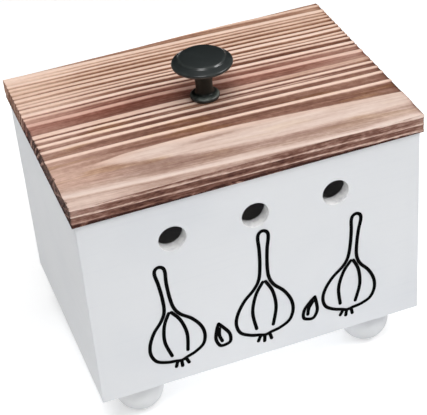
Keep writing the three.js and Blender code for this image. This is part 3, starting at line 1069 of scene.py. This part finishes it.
def onCurve(a, b, c, d, t):  # t of the way from b to c
    bend = 2 * a - 5 * b + 4 * c - d
    twist = 3 * b - a - 3 * c + d
    return 0.5 * (2 * b + (c - a) * t + bend * t * t + twist * t ** 3)


def curveThrough(points):  # a smooth line through points
    ends = [points[0]] + points + [points[-1]]
    steps = drawing["curveSteps"]
    line = []
    for four in zip(ends, ends[1:], ends[2:], ends[3:]):
        for i in range(steps):
            line.append(tuple(onCurve(*values, i / steps) for values in zip(*four)))
    return line + [points[-1]]


def placed(lines, place, half, tall, tilt):
    turn = Matrix.Rotation(math.radians(tilt), 2)
    offset = Vector((place, 0))
    return [curveThrough([tuple(turn @ Vector((x * half, y * tall)) + offset) for x, y in line])
            for line in lines]


def roundTip(end, start):  # half a turn round the end of a stroke
    steps = drawing["tipSteps"]
    return [end + Matrix.Rotation(-math.pi * k / steps, 2) @ (start - end) for k in range(1, steps)]


def ribbon(line, width):  # the outline of a stroke with round ends
    points = [Vector(p) for p in line]
    left, right = [], []
    for i, spot in enumerate(points):
        run = (points[min(i + 1, len(points) - 1)] - points[max(i - 1, 0)]).normalized()
        side = Vector((-run.y, run.x)) * width / 2
        left.append(spot + side)
        right.append(spot - side)
    return left + roundTip(points[-1], left[-1]) + right[::-1] + roundTip(points[0], right[0])


def makeStroke(bm, line, faceY, proud):
    outline = ribbon(line, drawing["width"])
    spots = [(p.x * mm, (drawing["floor"] + p.y) * mm) for p in outline]
    back = [bm.verts.new((x, faceY + drawing["sunk"] * mm, z)) for x, z in spots]
    front = [bm.verts.new((x, faceY - proud, z)) for x, z in spots]
    for i in range(len(outline)):
        j = (i + 1) % len(outline)
        bm.faces.new((back[i], back[j], front[j], front[i]))
    count = len(line)
    last = len(outline) - drawing["tipSteps"]  # across from the first point
    for i in range(count - 1):  # between its two long sides
        a, b, c, d = i, i + 1, last - i - 1, last - i
        bm.faces.new((front[a], front[b], front[c], front[d]))
        bm.faces.new((back[d], back[c], back[b], back[a]))
    tip = [*range(count - 1, last - count + 2)]
    tail = [*range(last, len(outline)), 0]
    for ring in (tip, tail):
        bm.faces.new([front[i] for i in ring])
        bm.faces.new([back[i] for i in ring[::-1]])


def makeDrawing():
    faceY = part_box("front_panel")[0].y
    strokes = []
    for bulb in drawing["bulbs"]:
        strokes += placed(bulbLines, *bulb)
    for clove in drawing["cloves"]:
        strokes += placed(cloveLines, *clove)
    bm = bmesh.new()
    for number, line in enumerate(strokes):
        makeStroke(bm, line, faceY, (drawing["height"] + drawing["stagger"] * (number % 9)) * mm)
    bmesh.ops.recalc_face_normals(bm, faces=bm.faces)
    mesh = bpy.data.meshes.new("front_line_drawing")
    bm.to_mesh(mesh)
    bm.free()
    finishPiece(addPiece("front_line_drawing", mesh), lineInk, "box")


makeDrawing()
print("front drawn")


# nodes that keep their own shape
def dress(node, material):
    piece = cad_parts[node]
    for place in piece.material_slots:
        place.link = "OBJECT"
        place.material = material


dress("bottom_panel", paintAlongX)
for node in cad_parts:
    if node.startswith("lid_batten"):
        dress(node, barePine)
    if "_brad_" in node:
        dress(node, zincSteel)
print("carried-over nodes dressed")


# floor and light
studio = {
    "floorColours": (tint(250, 250, 250), tint(247, 247, 247)),
    "floorClouds": 3.0,  # cells per metre
    "floorGlow": (0.37, 0.92, 0.57),  # by the box, far away up to the horizon, and in front of the box
    "farFrom": (0.5, 1.6),
    "ahead": (0.0, -0.19, 0.0),
    "aheadFrom": (0.26, 0.06),
    "floorHalf": 0.6,
    "farFloorHalf": 4.5,
    "farFloorDrop": 0.0001,
    "floorPoints": 13,  # along each side
    "lightsAim": (0, 0, 0.08),
    "key": {"place": (1.0, -0.47, 1.05), "size": (1.0, 0.2), "power": 5.7},
    "fill": {"place": (-0.33, -0.7, 1.43), "size": (0.7, 0.7), "power": 5.8},
    "top": {"place": (0.0, -0.12, 1.5), "size": (1.8, 1.8), "power": 16.8},
    # for the light that bounces in the closed box
    "inside": {"place": (0, 0, 0.085), "size": 0.05, "power": 0.0022},
}


def makeFloorFinish():
    material, wire, place = startFinish("pale_floor")
    cloud = place.cells(studio["floorClouds"], 2.0)
    colour = cloud.mixed(*studio["floorColours"])
    away = wire.node("VectorMath", {"operation": "LENGTH"}, {0: place}, 1)
    ahead = wire.node("VectorMath", {"operation": "DISTANCE"}, {0: place, 1: studio["ahead"]}, 1)
    near, far, front = ((glow, glow, glow, 1.0) for glow in studio["floorGlow"])
    glow = away.between(*studio["farFrom"]).mixed(near, far)
    glow = ahead.between(*studio["aheadFrom"]).mixed(glow, front)
    return endFinish(material, wire, {
        "Base Color": colour, "Roughness": 0.9, "Specular IOR Level": 0.0,
        "Emission Color": glow, "Emission Strength": 1.0})


def makeFloor(name, half, drop, material):
    count = studio["floorPoints"]
    steps = np.linspace(-half, half, count)
    points = [(x, y, -drop) for y in steps for x in steps]
    faces = [(j * count + i, j * count + i + 1, (j + 1) * count + i + 1, (j + 1) * count + i)
             for j in range(count - 1) for i in range(count - 1)]
    floor = addPiece(name, meshFrom(name, points, faces), material)
    return floor


def makeLight(name, settings):
    lamp = bpy.data.lights.new(name, "AREA")
    lamp.shape, lamp.energy = "ELLIPSE", settings["power"]
    lamp.size, lamp.size_y = settings["size"]
    light = bpy.data.objects.new(name, lamp)
    light.location = settings["place"]
    light.rotation_mode = "QUATERNION"
    light.rotation_quaternion = (Vector(studio["lightsAim"]) - light.location).to_track_quat("-Z", "Y")
    bpy.context.scene.collection.objects.link(light)
    return light


def makeGlow(name, settings):
    lamp = bpy.data.lights.new(name, "POINT")
    lamp.shadow_soft_size, lamp.energy = settings["size"] / 2, settings["power"]
    light = bpy.data.objects.new(name, lamp)
    light.location = settings["place"]
    bpy.context.scene.collection.objects.link(light)


def makeWorld():  # a white backdrop that lights nothing
    world = bpy.data.worlds.new("studio")
    world.use_nodes = True
    world.node_tree.nodes["Background"].inputs["Color"].default_value = (1.0, 1.0, 1.0, 1.0)
    world.cycles_visibility.diffuse = False
    world.cycles_visibility.glossy = False
    bpy.context.scene.world = world


paleFloor = makeFloorFinish()
makeFloor("floor", studio["floorHalf"], 0, paleFloor)
farFloor = makeFloor("far_floor", studio["farFloorHalf"], studio["farFloorDrop"], paleFloor)
farFloor.visible_glossy = False  # its glare would ring the knob's cap
makeLight("key_light", studio["key"])
makeLight("fill_light", studio["fill"])
makeLight("top_light", studio["top"]).visible_glossy = False  # its sheen would hide the knob's shape
makeGlow("inside_glow", studio["inside"])
makeWorld()
bpy.context.scene.view_settings.view_transform = "Standard"
print("stage lit")
